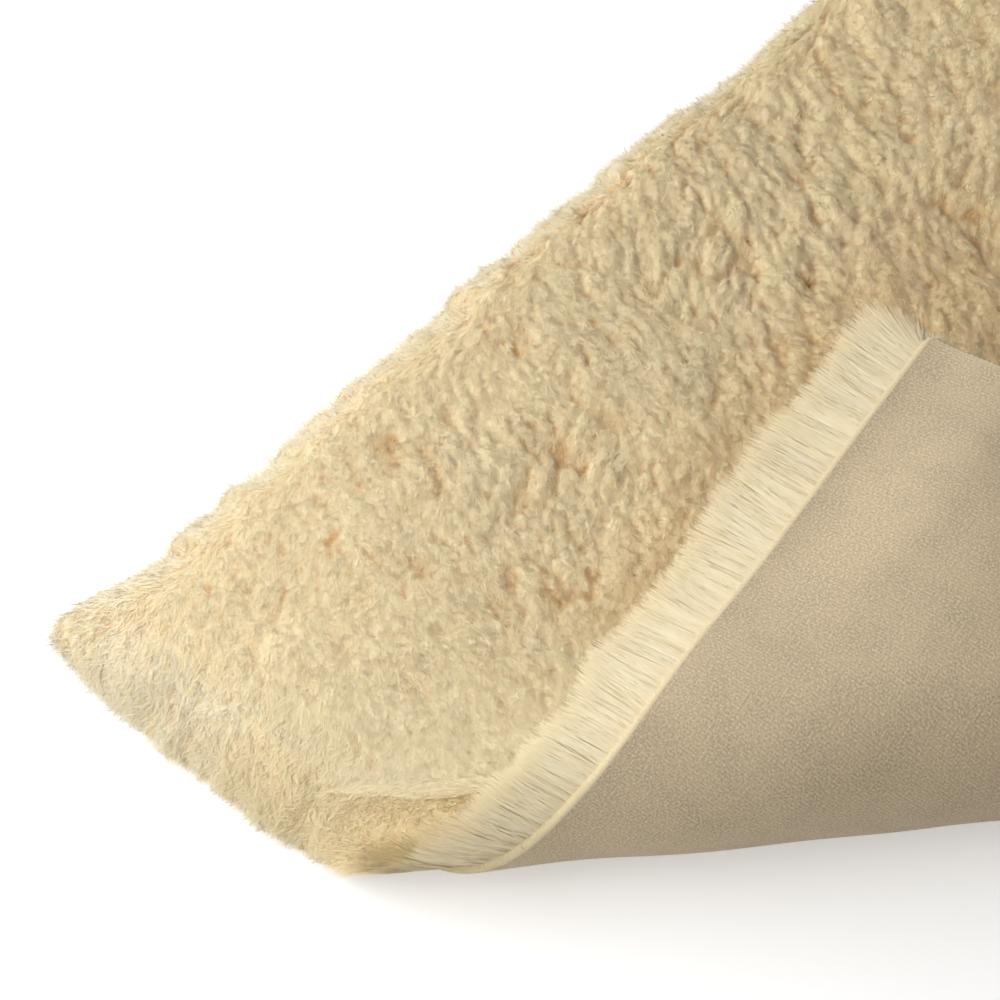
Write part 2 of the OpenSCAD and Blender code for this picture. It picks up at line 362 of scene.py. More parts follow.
backLook = dict(wale=0.0006, course=0.0005, patch=28.0, speck=2600.0, furrow=0.3, fleck=3.0, bump=0.35,
                loopHeight=0.0001, rough=0.78, roughSpread=0.15, sheen=0.25, shine=0.2,
                cloud=160.0, cloudGain=4.0, cloudFrom=-1.7, blush=1300.0, blushGain=2.5, blushFrom=-1.05,
                soft=(0.54, 0.42, 0.27, 1), rosy=(0.68, 0.48, 0.29, 1),
                dark=(0.56, 0.42, 0.25, 1), light=(0.75, 0.60, 0.39, 1), deep=(0.46, 0.33, 0.19, 1),
                pale=(0.86, 0.73, 0.52, 1))
groundLook = dict(backLook, wale=0.0011, course=0.0009,
                  dark=(0.62, 0.50, 0.34, 1), light=(0.76, 0.64, 0.46, 1),
                  soft=(0.68, 0.56, 0.39, 1), rosy=(0.70, 0.54, 0.36, 1))
threadLook = dict(backLook, wale=0.0009, course=0.0004, fleck=1.2,
                  dark=(0.76, 0.60, 0.35, 1), light=(0.86, 0.72, 0.46, 1),
                  deep=(0.66, 0.50, 0.29, 1), pale=(0.92, 0.80, 0.54, 1),
                  soft=(0.84, 0.70, 0.44, 1), rosy=(0.80, 0.62, 0.37, 1))
ribLook = dict(backLook, wale=0.0009, course=0.0008)
backKnit = knitMaterial("backKnit", backLook)
groundKnit = knitMaterial("groundKnit", groundLook)
edgeThread = knitMaterial("edgeThread", threadLook)
ribKnit = knitMaterial("ribKnit", ribLook)


def woolMaterial(name, look, uvName):
    # Fibre colour from its map: its own tint across, and its tone upward, from the root colour that paints
    # shade into the crevices to the tip colour
    material, tree, shader = newMaterial(name)
    place = addNode(tree, "ShaderNodeUVMap", uv_map=uvName).outputs[0]
    split = addNode(tree, "ShaderNodeSeparateXYZ", {0: place})
    height = mathNode(tree, "POWER", split.outputs[1], look["rootPower"])
    tone = mixColour(tree, height, look["root"], look["tip"])
    tint = mathNode(tree, "MULTIPLY", split.outputs[0], look["spread"])
    colour = mixColour(tree, tint, tone, look["warm"])
    # Fibres of low tint mix toward the pale colour: random pale fibres and streaks of the fringe, and painted
    # rim light where the pile sets its tint low over the rim
    paleFibresAndRimLight = mathNode(tree, "MULTIPLY_ADD", split.outputs[0], -1 / look["paleFibresAndRimLight"], 1.0)
    colour = mixColour(tree, paleFibresAndRimLight, colour, look["pale"])
    tree.links.new(colour, shader.inputs["Base Color"])
    setSockets(shader, {"Roughness": look["rough"], "Specular IOR Level": look["shine"],
                        "Sheen Weight": look["sheen"], "Sheen Roughness": 0.4,
                        "Subsurface Weight": look["glow"], "Subsurface Radius": look["glowReach"],
                        "Subsurface Scale": 0.003})
    return material


woolLook = dict(root=(0.76, 0.42, 0.13, 1), tip=(0.95, 0.84, 0.57, 1), warm=(0.90, 0.71, 0.39, 1),
                rootPower=0.8, spread=0.55, paleFibresAndRimLight=0.22, pale=(0.96, 0.89, 0.71, 1),
                rough=0.85, shine=0.15, sheen=0.25, glow=0.0, glowReach=(1.0, 0.6, 0.3))
wool = woolMaterial("wool", woolLook, "OFBake")
# The undercoat's darker root colour paints deeper shade into the crevices between locks
bedLook = dict(woolLook, root=(0.66, 0.32, 0.08, 1), tip=(0.93, 0.80, 0.52, 1), glow=0.5)
woolBed = woolMaterial("woolBed", bedLook, "panel")
fringeBedLook = dict(bedLook, root=(0.84, 0.62, 0.34, 1), glow=0.0)
woolSkirt = woolMaterial("woolSkirt", fringeBedLook, "panel")
print("materials made")


# Cloths, each made in two halves that meet in the middle of the roll.

clothLook = dict(rows=80, gatherRows=30, cols=90, rollRows=30, flapRows=100, foldCols=190)


def panelGrid():
    # Panel coordinates of the lying part, from the finger end to the mouth
    plain = np.linspace(0, gatherFrom, clothLook["rows"], endpoint=False)
    gathered = np.linspace(gatherFrom, mitt["bodyLength"], clothLook["gatherRows"])
    y = np.repeat(np.concatenate([plain, gathered])[:, None], clothLook["cols"], axis=1)
    x = nearX(y) + np.linspace(0, 1, clothLook["cols"]) * (farX(y) - nearX(y))
    return x, y


def foldGrid(low, high, rows, cols, over=0.0):
    # Panel coordinates between two lines along the fold, running over the sewn edges if asked
    t = np.linspace(low, high, rows)[:, None]
    first = fingerEdge(t) - over / math.sin(turn)
    last = sideEdge(t) + over / math.cos(turn)
    s = first + np.linspace(0, 1, cols)[None] * (last - first)
    return flatX(s, t), flatY(s, t)


rollMid = rollArc / 2
nearCorner = cornerReach - 0.25
blendAt = 110  # place along the fold where the blends are measured


def rollPoint(t, h=0.0):
    point = settle(flatX(blendAt, t), flatY(blendAt, t), h, swayed=False)
    return tuple(toFrame(point)[0])


blendLow = (rollPoint(0), rollPoint(rollMid))
blendHigh = (rollPoint(rollMid), rollPoint(rollArc))


def clothPair(low, high, lifted, name, material, slot, nodes):
    # One cloth as two pieces that meet in the middle of the roll
    lower, upper = Patch(), Patch()
    lower.sheet(*panelGrid(), low, high, lifted)
    lower.sheet(*foldGrid(0, rollMid, clothLook["rollRows"], clothLook["foldCols"]), low, high)
    upper.sheet(*foldGrid(rollMid, nearCorner, clothLook["flapRows"], clothLook["foldCols"]), low, high)
    lowPiece = lower.make(name + "Main", material, slot)
    highPiece = upper.make(name + "Turned", material, slot)
    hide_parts(nodes[0], nodes[1])
    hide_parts(nodes[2])
    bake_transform(lowPiece)
    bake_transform(highPiece)
    return lowPiece, highPiece


backPieces = clothPair(0.0, mitt["backThick"], False, "backCloth", backKnit, "back_knit",
                       ("back_panel", "back_roll", "back_flap"))
facePieces = clothPair(faceLow, faceTop, True, "faceGround", groundKnit, "ground_knit",
                       ("face_cloth", "face_roll", "face_flap"))
print("cloths made")


# Overlocked edge, a bead of thread round both cloths

seamLook = dict(width=1.05, inside=0.9, crown=0.15, stitch=0.9, slant=1.5, relief=0.12, sides=10,
                step=0.3, overlap=0.6)


def resample(path, step):
    path = np.asarray(path, float)
    length = np.concatenate([[0], np.cumsum(np.linalg.norm(np.diff(path, axis=0), axis=1))])
    at = np.linspace(0, length[-1], max(2, int(length[-1] / step) + 1))
    return np.stack([np.interp(at, length, path[:, k]) for k in (0, 1)], -1), at


def addBead(patch, path):
    points, at = resample(path, seamLook["step"])
    tangent = np.gradient(points, axis=0)
    tangent /= np.linalg.norm(tangent, axis=1)[:, None]
    out = np.stack([tangent[:, 1], -tangent[:, 0]], -1)
    angle = np.linspace(-np.pi, np.pi, seamLook["sides"], endpoint=False)
    phase = 2 * np.pi * at[:, None] / seamLook["stitch"] + seamLook["slant"] * angle[None]
    swell = 1 + seamLook["relief"] * np.sin(phase)
    reach = np.where(np.cos(angle) > 0, seamLook["width"], seamLook["inside"])[None]
    reach = reach * np.cos(angle)[None] * swell
    x = points[:, :1] + out[:, :1] * reach
    y = points[:, 1:] + out[:, 1:] * reach
    h = faceTop / 2 + (faceTop / 2 + seamLook["crown"]) * np.sin(angle)[None] * swell
    ring = settle(x, y, np.maximum(h, groundGap))
    patch.grid(ring, at[:, None] + 0 * angle[None], 3 * angle[None] + 0 * at[:, None], wrap=True)


def arcPath(cx, cy, r, start, end, n=12):
    a = np.radians(np.linspace(start, end, n))
    return np.stack([cx + r * np.cos(a), cy + r * np.sin(a)], -1)


radius, turnedRadius = mitt["cornerRadius"], mitt["turnedRadius"]
gatherY = np.linspace(gatherFrom, mitt["bodyLength"], 40)
sideA = np.stack([sideTuck(gatherY), gatherY], -1)[::-1]
sideC = np.stack([mitt["width"] - sideTuck(gatherY), gatherY], -1)
fingerStart = mitt["foldStart"] + rollMid / math.sin(turn)
sideStart = foldExit - rollMid / math.cos(turn)
seamLow, seamHigh = Patch(), Patch()
lap = seamLook["overlap"]
nearCornerPath = arcPath(radius, radius, radius, 180, 270)
turnedCornerPath = arcPath(mitt["width"] - turnedRadius, turnedRadius, turnedRadius, 270, 360, 6)
addBead(seamLow, np.concatenate([sideA, nearCornerPath, [[fingerStart + lap, 0.0]]]))
addBead(seamLow, np.concatenate([[[mitt["width"], sideStart - lap]], sideC]))
addBead(seamHigh, np.concatenate([[[fingerStart, 0.0]], turnedCornerPath, [[mitt["width"], sideStart]]]))
seamMain = seamLow.make("edgeSeamMain", edgeThread, "edge_thread")
seamTurned = seamHigh.make("edgeSeamTurned", edgeThread, "edge_thread")
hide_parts("long_seam", "short_seam", "finger_roll_seam", "side_roll_seam")
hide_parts("flap_seam")
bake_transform(seamMain)
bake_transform(seamTurned)
print("edge seams made")


# Pile. Fine locks of fibres lie over each other on the flat cloth and follow it round the fold.

pileLook = dict(tall=12.3, leanX=0.85, leanY=-0.53, perArea=7.0, length=1.7, width=0.06, jitter=0.5,
                curl=0.4, raised=0.5, ruffle=0.4, fuzz=2.5, paintedGlow=0.3, paintedRimLightGain=0.4, paintedFringeShadeGain=0.45)
tuftLook = dict(cell=5.2, seed=6, long=4.8, wide=2.8, lean=1.6, lump=0.7, power=1.5, wander=0.3,
                round=0.45, tone=0.35)
lockLook = dict(cell=1.85, seed=5, long=2.5, wide=1.0, lean=1.1, lump=0.85, power=1.5, wander=0.25,
                round=0.34, tone=0.65)
lockVary = dict(place=0.48, lean=0.45, leanChance=0.25, tall=0.8, tallSoft=0.3, tallChance=0.4,
                relief=0.6, reliefRise=0.55, reliefSoft=0.3, smallest=0.7, largest=1.5)
rimLook = dict(inside=9.0, over=8.5, turnedOver=3.0, tuckedOver=0.5, arc=26.0, square=9.0,
               low=0.6, turnedLow=5.0, tuckedLow=2.9, wave=1.15, droop=0.28, droopRadius=30.0,
               nearLess=3.1, mouthLess=2.5, fingerMore=3.4)
squeezeLook = dict(before=34.0, ramp=38.0, after=14.0, share=0.9, above=0.7)
rimSpare = rimLook["arc"] - rimLook["inside"]
spareCells = 4  # lattice cells beyond the flat pile


def leanHeading(x, y):
    # The way that the pile is brushed, turning outward over the rim
    wander = 0.45 * softNoise(x, y, 23, 21) + 0.35 * softNoise(x, y, 8, 22)
    heading = math.atan2(pileLook["leanY"], pileLook["leanX"]) + wander
    gx, gy, g = rimDepth(x, y)
    outward = 1.6 * ease(g / 16) / (g + 1e-6)
    return np.arctan2(np.sin(heading) + gy * outward, np.cos(heading) + gx * outward)


def lockField(look):
    # Jittered lattice of lock places over the flat pile, with the way and length each one leans
    rng = np.random.default_rng(look["seed"])
    cell, vary = look["cell"], lockVary
    nx, ny = (int((span + 2 * rimSpare) / cell) + 2 * spareCells + 1 for span in (mitt["width"], pileEnd))
    gx, gy = np.meshgrid(np.arange(nx) - spareCells, np.arange(ny) - spareCells, indexing="ij")
    x = (gx + 0.5 + rng.uniform(-vary["place"], vary["place"], gx.shape)) * cell - rimSpare
    y = (gy + 0.5 + rng.uniform(-vary["place"], vary["place"], gx.shape)) * cell - rimSpare
    heading = leanHeading(x, y) + look["wander"] * rng.normal(0, 1, x.shape)
    lean = 1 + vary["lean"] * softNoise(x, y, 13, 23) + vary["leanChance"] * rng.uniform(-1, 1, x.shape)
    lean = look["lean"] * lean
    tall = vary["tall"] + vary["tallSoft"] * softNoise(x, y, 7, 24)
    tall = tall + vary["tallChance"] * rng.uniform(-1, 1, x.shape)
    relief = vary["relief"] + vary["reliefRise"] * ease((y - 30) / 110)
    relief = relief + vary["reliefSoft"] * softNoise(x, y, 30, 25)
    size = rng.uniform(vary["smallest"], vary["largest"], x.shape)
    return dict(x=x, y=y, heading=heading, lean=lean, tall=tall, relief=relief, size=size)


def rimDepth(x, y):
    # How far a place of the flat pile lies into its rounded rim, across, along and in all
    w = rimLook["inside"]
    gx = np.maximum(0, w - (mitt["width"] - sideTuck(y) - x)) - np.maximum(0, w - (x - sideTuck(y)))
    gy = np.maximum(0, w - (pileEnd - y)) - np.maximum(0, w - y) + 0 * x
    p = rimLook["square"]
    return gx, gy, (np.abs(gx) ** p + np.abs(gy) ** p) ** (1 / p)


def rimOver(x, y, sideShare, cuffShare):
    # Reach of the pile beyond the sewn edge and the height of its rim, which hides under the turned fringe
    turned = ease(past(x, y) / 16)
    tucked = np.maximum(cuffShare, turned * sideShare)
    freed = (1 - turned) * (1 - cuffShare)
    fringed = 1 - tucked - freed
    over = rimLook["over"] * freed + rimLook["turnedOver"] * fringed + rimLook["tuckedOver"] * tucked
    return over, rimLook["low"] * freed + rimLook["turnedLow"] * fringed + rimLook["tuckedLow"] * tucked


def rimGrowth(x, y, nearShare, fingerShare):
    # Fuller pile along the lying finger end, leaner along the near side, as it lies in the photo
    near = rimLook["nearLess"] + rimLook["mouthLess"] * ease((y - 110) / 60)
    return rimLook["fingerMore"] * fingerShare * ease((66 - x) / 34) - near * nearShare


def lockBump(look, x, y):
    # Height of the overlapping rounded locks, and the share of it between crevice and top
    locks = lockField(look)
    ix = np.floor((x + rimSpare) / look["cell"]).astype(int) + spareCells
    iy = np.floor((y + rimSpare) / look["cell"]).astype(int) + spareCells
    best = np.full(x.shape, -1.0)
    relief = np.ones(x.shape)
    nearby = range(1 - spareCells, spareCells)
    for dx in nearby:
        for dy in nearby:
            i = np.clip(ix + dx, 0, locks["x"].shape[0] - 1)
            j = np.clip(iy + dy, 0, locks["x"].shape[1] - 1)
            c, s = np.cos(locks["heading"][i, j]), np.sin(locks["heading"][i, j])
            px, py = x - locks["x"][i, j], y - locks["y"][i, j]
            a = (px * c + py * s - locks["lean"][i, j]) / (look["long"] * locks["size"][i, j])
            b = (py * c - px * s) / (look["wide"] * locks["size"][i, j])
            value = locks["tall"][i, j] - (a * a + b * b) ** look["power"] * 0.7
            relief = np.where(value > best, locks["relief"][i, j], relief)
            best = np.maximum(best, value)
    return look["lump"] * relief * (np.clip(best, -0.3, 1.5) - 0.6), np.clip(best, -0.3, 1.3)


fieldStep = 0.4
fieldSpare = rimSpare + 4
fieldX = np.arange(-fieldSpare, mitt["width"] + fieldSpare, fieldStep)
fieldY = np.arange(-fieldSpare, pileEnd + fieldSpare, fieldStep)
fieldAt = np.meshgrid(fieldX, fieldY, indexing="ij")
tuftHeight, tuftShare = lockBump(tuftLook, *fieldAt)
lockHeight, lockShare = lockBump(lockLook, *fieldAt)
pileHeight = tuftHeight + lockHeight
# Fibre tone from this share is painted shade: low in the crevices between locks, where fibres take the dark
# warm root colour, high on the tops
paintedCreviceTone = (tuftLook["tone"] * ease((tuftShare + 0.1) / 0.6)
             + lockLook["tone"] * ease((lockShare - 0.02) / 0.55))
paintedCreviceTone = np.clip(paintedCreviceTone, 0.02, 0.98)
tuftSlopes, lockSlopes = np.gradient(tuftHeight, fieldStep), np.gradient(lockHeight, fieldStep)
pileSlopeX, pileSlopeY = (-tuftLook["round"] * tuftSlopes[k] - lockLook["round"] * lockSlopes[k]
                          for k in (0, 1))


def readField(values, x, y):
    # Value of a sampled field between its places
    gx = np.clip((x - fieldX[0]) / fieldStep, 0, len(fieldX) - 1.001)
    gy = np.clip((y - fieldY[0]) / fieldStep, 0, len(fieldY) - 1.001)
    ix, iy = gx.astype(int), gy.astype(int)
    fx, fy = gx - ix, gy - iy
    low = values[ix, iy] * (1 - fx) + values[ix + 1, iy] * fx
    high = values[ix, iy + 1] * (1 - fx) + values[ix + 1, iy + 1] * fx
    return low * (1 - fy) + high * fy


def billow(x, y):
    return 0.9 * softNoise(x, y, 21, 26) + 0.5 * softNoise(x, y, 10, 27)


leastPile, mostPile = 0.3, rollRadius - 0.4


def rim(x, y, e):
    # Panel place and height at e above the mean top of the pile, which rounds over at the sewn edges
    gx, gy, g = rimDepth(x, y)
    a = np.minimum(g / rimLook["arc"], 1) * np.pi / 2
    inX, inY = x - gx, y - gy
    across, lengthways = (part * part / (gx * gx + gy * gy + 1e-6) for part in (gx, gy))
    over, low = rimOver(inX, inY, np.where(gx > 0, across, 0), np.where(gy > 0, lengthways, 0))
    over = over + rimGrowth(inX, inY, np.where(gx < 0, across, 0), np.where(gy < 0, lengthways, 0))
    peak = np.minimum(np.abs(gx), np.abs(gy)) / (np.maximum(np.abs(gx), np.abs(gy)) + 1e-6)
    wave = rimLook["wave"] * (softNoise(inX, inY, 9, 28) + softNoise(inX, inY, 4, 29))
    over = over * (1 + 0.2 * peak ** 2) + wave
    reach = ((rimLook["inside"] + over + e) * np.sin(a)) / (g + 1e-6)
    droop = 1 - rimLook["droop"] * np.exp(-(x * x + y * y) / rimLook["droopRadius"] ** 2)
    body = (faceTop + 0.3 - low + pileLook["tall"] + billow(x, y)) * droop
    h = low + body * np.cos(a) ** 0.8 + e * np.cos(a)
    px, py = inX + gx * reach, inY + gy * reach
    t = past(px, py)
    squeezed = (ease((t + squeezeLook["before"]) / squeezeLook["ramp"])
                * ease((rollArc + squeezeLook["after"] - t) / squeezeLook["after"]))
    h = h - squeezeLook["share"] * squeezed * np.maximum(h - rollRadius * squeezeLook["above"], 0)
    return px, py, np.clip(h, leastPile, mostPile + 8 * ease(-t / 6))


def puff(x, y, e):
    return settle(*rim(x, y, e), lifted=True)


probe = 0.05  # short step outward, to find the way that a fibre faces


def pileStrands(rng):
    # Short fibres that lie on the locks, with the way each one faces and its tones from root to tip
    wide, long = mitt["width"] + 2 * rimSpare, pileEnd + 2 * rimSpare
    m = int(wide * long * pileLook["perArea"])
    x0 = rng.uniform(-rimSpare, mitt["width"] + rimSpare, (m, 1))
    y0 = rng.uniform(-rimSpare, pileEnd + rimSpare, (m, 1))
    v = np.array([0.0, 0.5, 1.0])[None]
    go = leanHeading(x0, y0) + pileLook["jitter"] * rng.normal(0, 1, (m, 1))
    go = go + pileLook["curl"] * rng.normal(0, 1, (m, 1)) * v
    length = pileLook["length"] * rng.uniform(0.6, 1.3, (m, 1))
    x, y = x0 + length * np.cos(go) * v, y0 + length * np.sin(go) * v
    deep = rimDepth(x, y)[2]
    raised = pileLook["raised"] * (1 + pileLook["fuzz"] * ease(deep / 12))
    e = readField(pileHeight, x, y) + 0.05 + raised * rng.uniform(0, 1, (m, 1)) ** 2 * v ** 2
    keep = np.all(deep < rimLook["arc"] + 2, axis=1)
    x, y, e, deep = x[keep], y[keep], e[keep], deep[keep]
    fx, fy = readField(pileSlopeX, x, y), readField(pileSlopeY, x, y)
    px, py, h = rim(x, y, e)
    centre = settle(px, py, h, lifted=True)
    fx = fx + pileLook["ruffle"] * (softNoise(x, y, 0.9, 51) + softNoise(x, y, 0.5, 52))
    fy = fy + pileLook["ruffle"] * (softNoise(x, y, 0.9, 53) + softNoise(x, y, 0.5, 54))
    gx, gy, g = rimDepth(x, y)
    steep = np.minimum(g / rimLook["arc"], 1) * np.pi / 2
    nx = gx * np.sin(steep) / (g + 1e-6) + fx * np.cos(steep)
    ny = gy * np.sin(steep) / (g + 1e-6) + fy * np.cos(steep)
    outward = settle(px + probe * nx, py + probe * ny, h + probe * np.cos(steep), lifted=True) - centre
    px, py, t = px[:, 0], py[:, 0], past(px, py)[:, 0]
    # Painted light on the fibres: paler over the rim as painted rim light, creamier by the start of the fold
    # as a painted glow, warmer and darker beside the turned fringe as painted shade
    # painted rim light: fibres over the rim get a higher tone and a low tint, so they render paler
    paintedRimLight = ease(deep[:, 0] / 12) * ease((-t - 2) / 16)
    # painted glow: fibres by the start of the fold get a lighter, creamier tone, standing in for light
    # bounced inside the fold
    paintedGlow = np.maximum(paintedRimLight, ease((t + 34) / 22) * ease((75 - py) / 40))
    # painted shade: the mask below darkens and warms the pile in a band beside the foot of the turned fringe,
    # standing in for the fringe's shadow
    foot = (fingerEdge(rollArc - t) - along(px, py)) * math.sin(turn)
    warm = ease((36 - foot) / 20) * ease((-t - 8) / 20) * ease((125 + t) / 40)
    paintedLight = pileLook["paintedGlow"] * paintedGlow + pileLook["paintedRimLightGain"] * paintedRimLight - pileLook["paintedFringeShadeGain"] * warm
    tone = readField(paintedCreviceTone, x, y) + 0.15 * (v - 0.5) + paintedLight[:, None]
    chance = rng.uniform(0, 1, len(x))
    # painted shade: the ramp in py makes fibres warmer and darker toward the cuff, standing in for the lamp's
    # falloff over the far pile; the random part is the wool's own tint
    tint = 0.22 + 0.5 * chance + 0.26 * ease((py - 40) / 120)
    # painted rim light: over the rim the tint drops low, so these fibres mix toward the pale colour
    tint = tint * (1 - paintedRimLight) + (0.03 + 0.14 * chance) * paintedRimLight
    return centre, outward, np.clip(tint, 0.02, 0.98), np.clip(tone, 0.02, 0.98), t


fringeLook = dict(perMm=90, inset=3.0, pitch=2.4, gather=0.45, fan=24.0, wave=2.0, extra=2.0, back=4.0,
                  drop=2.5, turnedReach=13.0, tuckedReach=1.2, lying=0.25, lock=0.2, stray=0.9,
                  lyingStray=2.2, sweep=1.3, fineSweep=0.7)
skirtLook = dict(share=0.66, fan=2.5, inset=2.0, step=0.25)


def sewnEdge():
    # Points and outward directions along the sewn edge, from one end of the mouth to the other
    wide = mitt["width"]
    down = np.linspace(pileEnd, radius, 240)
    first = np.stack([nearX(down), down], -1)
    bottom = np.stack([np.linspace(radius, wide - turnedRadius, 200), np.zeros(200)], -1)
    rise = np.linspace(turnedRadius, pileEnd, 240)
    last = np.stack([wide - sideTuck(rise), rise], -1)
    turnedCorner = arcPath(wide - turnedRadius, turnedRadius, turnedRadius, 270, 360)
    path = np.concatenate([first, nearCornerPath[1:-1], bottom, turnedCorner[1:-1], last])
    path, at = resample(path, 0.25)
    tangent = np.gradient(path, axis=0)
    out = np.stack([tangent[:, 1], -tangent[:, 0]], -1)
    reach = 12  # points on either side over which the direction is evened out
    even = np.ones(2 * reach + 1) / (2 * reach + 1)
    fan = np.stack([np.convolve(np.pad(out[:, i], reach, "edge"), even, "valid") for i in (0, 1)], -1)
    return path, fan / np.linalg.norm(fan, axis=1)[:, None], at


edgePoints, edgeOut, edgeAt = sewnEdge()


def edgeTurn(at):
    # Turned share of the sewn edge there, and the reach of the pile beyond it
    x, y = (np.interp(at, edgeAt, edgePoints[:, k]) for k in (0, 1))
    outX, outY = (np.interp(at, edgeAt, edgeOut[:, k]) for k in (0, 1))
    turned = ease((past(x, y) + 1) / 9)
    side = ease((outX - 0.1) / 0.5)
    reach = fringeLook["turnedReach"] * (1 - side) + fringeLook["tuckedReach"] * side
    lying = rimLook["over"] + rimGrowth(x, y, np.maximum(-outX, 0) ** 2, np.maximum(-outY, 0) ** 2)
    reach = reach * turned + lying * (1 - turned)
    return turned, reach * (1 + 0.08 * softNoise(at, 0 * at, 17, 42) + 0.1 * softNoise(at, 0 * at, 5, 39))


def fringePlace(at, start, root, fan, reach, v, drift, tilt=0.0):
    # Points of fibres that leave the sewn edge at a fan angle, with the way they face
    take = lambda column: np.interp(at, edgeAt, column)
    base = np.stack([take(edgePoints[:, 0]), take(edgePoints[:, 1])], -1)
    way = np.stack([take(edgeOut[:, 0]), take(edgeOut[:, 1])], -1)
    slide = np.stack([-way[..., 1], way[..., 0]], -1)
    flat = start + reach * np.cos(fan) * v
    x = base[..., 0] + way[..., 0] * flat + slide[..., 0] * drift
    y = base[..., 1] + way[..., 1] * flat + slide[..., 1] * drift
    h = np.clip(root + reach * np.sin(fan) * v, leastPile, mostPile)
    centre = settle(x, y, h, lifted=True)
    basePast = past(base[..., 0], base[..., 1])
    facing = np.where(basePast > rollMid * 0.6, -1.0, 1.0)
    ox, oy = (way[..., k] * 0.03 + slide[..., k] * probe * tilt for k in (0, 1))
    outward = settle(x + ox, y + oy, h + probe * facing, lifted=True) - centre
    return centre, outward, basePast


def fringeWave(at):
    # Slow rise and fall of the turned fringe, in degrees, shared by its fibres and the skirt below
    return fringeLook["wave"] * softNoise(at, 3 + 0 * at, 7, 38)


def fringeStrands(rng):
    # Combed fibres all along the sewn edges, gathered into soft points
    m = int(edgeAt[-1] * fringeLook["perMm"])
    at = rng.uniform(0, edgeAt[-1], (m, 1))
    at = at[rng.uniform(0, 1, m) < np.maximum(edgeTurn(at)[0][:, 0], fringeLook["lying"])]
    m = len(at)
    turned, over = edgeTurn(at)
    phase = at / fringeLook["pitch"] + 0.6 * softNoise(at, 0 * at, 5, 41)
    point = np.floor(phase) + 0.5
    pull = (point * fringeLook["pitch"] - at) * fringeLook["gather"]
    stray = fringeLook["stray"] * turned + fringeLook["lyingStray"] * (1 - turned)
    pull = pull + rng.normal(0, 1, (m, 1)) * stray
    v = np.array([0.0, 0.36, 0.72, 1.0])[None]
    sweep = (fringeLook["sweep"] * softNoise(at, 0 * at, 11, 43)
             + fringeLook["fineSweep"] * softNoise(at, 0 * at, 4, 40))
    drift = pull * v + sweep * v ** 2
    share = rng.uniform(0, 1, (m, 1)) ** (1 + turned)
    fan = np.radians((fringeWave(at) + fringeLook["fan"] * share) * turned + (60 * share - 25) * (1 - turned))
    lyingStart = over - fringeLook["back"] - 3 * share
    start = -rng.uniform(0.1, fringeLook["inset"], (m, 1)) * turned + lyingStart * (1 - turned)
    root = 1.1 * turned + (0.8 + fringeLook["drop"] * share) * (1 - turned)
    reach = (over + fringeLook["extra"] * (1 - turned) - start) * rng.uniform(0.8, 1.06, (m, 1))
    tilt = fringeLook["lock"] * (phase - point) * fringeLook["pitch"] + 0.2 * softNoise(at, 2 * v, 1.1, 55)
    centre, outward, t = fringePlace(at, start, root, fan, reach, v, drift, tilt)
    tone = 0.7 + 0.28 * ease(v / 0.5) + 0 * at
    return centre, outward, rng.uniform(0.08, 0.4, m), tone, t[:, 0]


strandLook = dict(roll=0.15, lowest=0.15, triangles=198000)


def strandMesh(name, centre, outward, tint, tone, rng):
    # Flat tapering fibres, shaded by the roundness of what they lie on
    m, rings = centre.shape[:2]
    outward = outward / (np.linalg.norm(outward, axis=2)[..., None] + 1e-9)
    axis = np.gradient(centre, axis=1)
    axis /= np.linalg.norm(axis, axis=2)[..., None] + 1e-9
    side = np.cross(axis, outward)
    side /= np.linalg.norm(side, axis=2)[..., None] + 1e-9
    roll = rng.uniform(-strandLook["roll"], strandLook["roll"], (m, 1, 1))
    side = side * np.cos(roll) + np.cross(axis, side) * np.sin(roll)
    taper = np.interp(np.linspace(0, 1, rings), [0, 0.6, 1], [1, 0.95, 0.25])[None, :, None]
    wide = pileLook["width"] * rng.uniform(0.7, 1.3, (m, 1, 1)) * taper
    points = np.stack([centre - side * wide, centre + side * wide], 2)
    points[..., 2] = np.maximum(points[..., 2], strandLook["lowest"])
    faces = (gridFaces(rings, 2)[None] + (np.arange(m) * rings * 2)[:, None, None]).reshape(-1, 4)
    v = np.repeat(tone[:, :, None], 2, axis=2)
    u = np.broadcast_to(tint[:, None, None] + np.array([-0.015, 0.015])[None, None], v.shape)
    normals = np.repeat(outward[:, :, None], 2, axis=2).reshape(-1, 3)
    uv = np.stack([u, v], -1).reshape(-1, 2)
    return makePiece(name, points.reshape(-1, 3), faces, wool, uv, "OFBake", normals)


squeezedTop = rollRadius * 0.71
pileBlendLow = (rollPoint(0, squeezedTop), rollPoint(rollMid, squeezedTop))
pileBlendHigh = (rollPoint(rollMid, squeezedTop), rollPoint(rollArc, squeezedTop))


def settlePile(piece, zone):
    if zone == "RollLow":
        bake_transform(piece)
    elif zone == "RollHigh":
        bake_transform(piece)
    else:
        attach(piece, "mitt_body" if zone == "Main" else "corner_flap")
    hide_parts({"Main": "wool_pile", "Flap": "pile_flap"}.get(zone, "pile_roll"))


def zonesOf(t):
    return [("Main", t < 0), ("RollLow", (t >= 0) & (t < rollMid)),
            ("RollHigh", (t >= rollMid) & (t < rollArc)), ("Flap", t >= rollArc)]


def strandPieces(label, strands, rng):
    # One mesh of fibres for each zone of the fold, or several where they are many
    most = strandLook["triangles"] // (2 * (strands[0].shape[1] - 1))
    for zone, keep in zonesOf(strands[-1]):
        chosen = np.nonzero(keep)[0]
        chosen = chosen[np.argsort(strands[0][chosen, 0, 1], kind="stable")]
        for c, pick in enumerate(np.array_split(chosen, len(chosen) // most + 1)):
            piece = strandMesh(f"{label}{zone}{c + 1}", *[column[pick] for column in strands[:-1]], rng)
            settlePile(piece, zone)
    print(label, "fibres made:", len(strands[0]))


